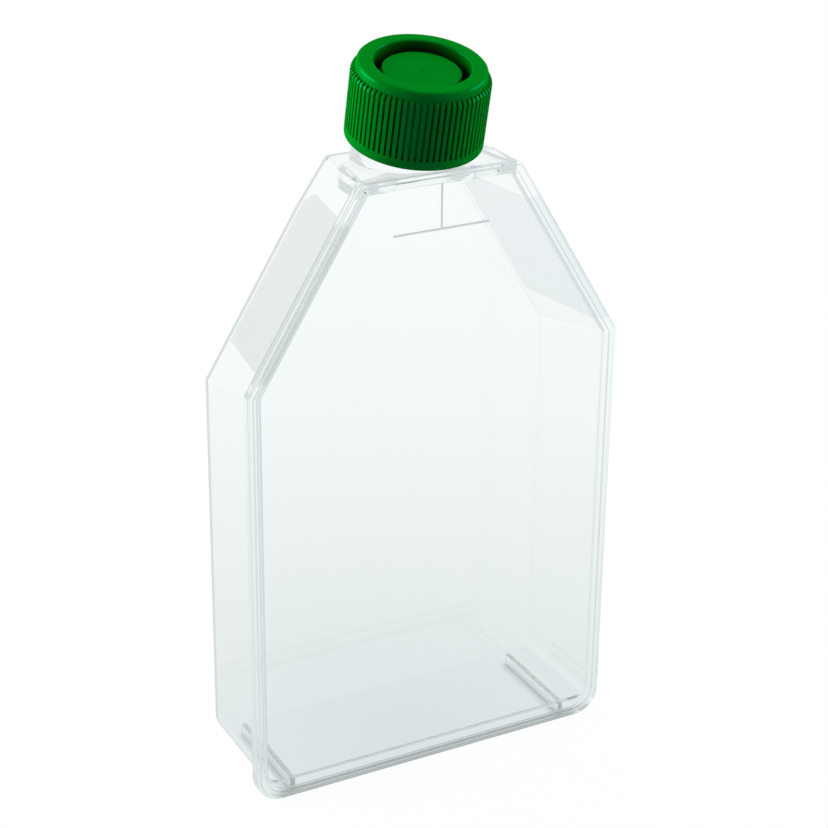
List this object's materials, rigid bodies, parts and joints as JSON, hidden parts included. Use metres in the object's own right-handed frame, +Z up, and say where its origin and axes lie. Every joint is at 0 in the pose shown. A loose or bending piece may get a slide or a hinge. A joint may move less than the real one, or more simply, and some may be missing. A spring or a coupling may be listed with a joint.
{
  "type": "cell culture flask",
  "caption": "Clear flat-sided flask for growing cells, standing upright, with sloping shoulders, a leaning threaded neck and a ribbed green screw cap with a vent.",
  "frame": {"origin": "middle of the whole's footprint, at the standing plane under the flange and ribs", "axes": "+Z up through the standing flask, +X to the right seen from the cover plate, +Y from the cover plate towards the growth wall"},
  "size_m": [0.12, 0.044, 0.2225],
  "materials": {
    "clear_polystyrene": "clear moulded polystyrene, polished",
    "clear_plate": "clear moulded polystyrene, polished",
    "green_cap": "green moulded polyethylene, satin",
    "membrane": "white filter membrane, matt"
  },
  "bodies": {
    "flask": {"flask_body": "clear_polystyrene", "cover_plate": "clear_plate"},
    "lift": {"vent_membrane": "membrane"},
    "cap": {"screw_cap": "green_cap"}
  },
  "joints": [
    {"name": "cap_lift", "type": "slide", "parent": "flask", "child": "lift", "axis": [0, -0.213, 0.977], "range_m": [0, 0.005]},
    {"name": "cap_turn", "type": "hinge", "parent": "lift", "child": "cap", "pos_m": [0, 0.00151, 0.19607], "axis": [0, -0.213, 0.977], "range_deg": [0, 450]}
  ],
  "couplings": [
    {"joint": "cap_lift", "follows": "cap_turn", "m_per_rad": 0.00063662}
  ]
}
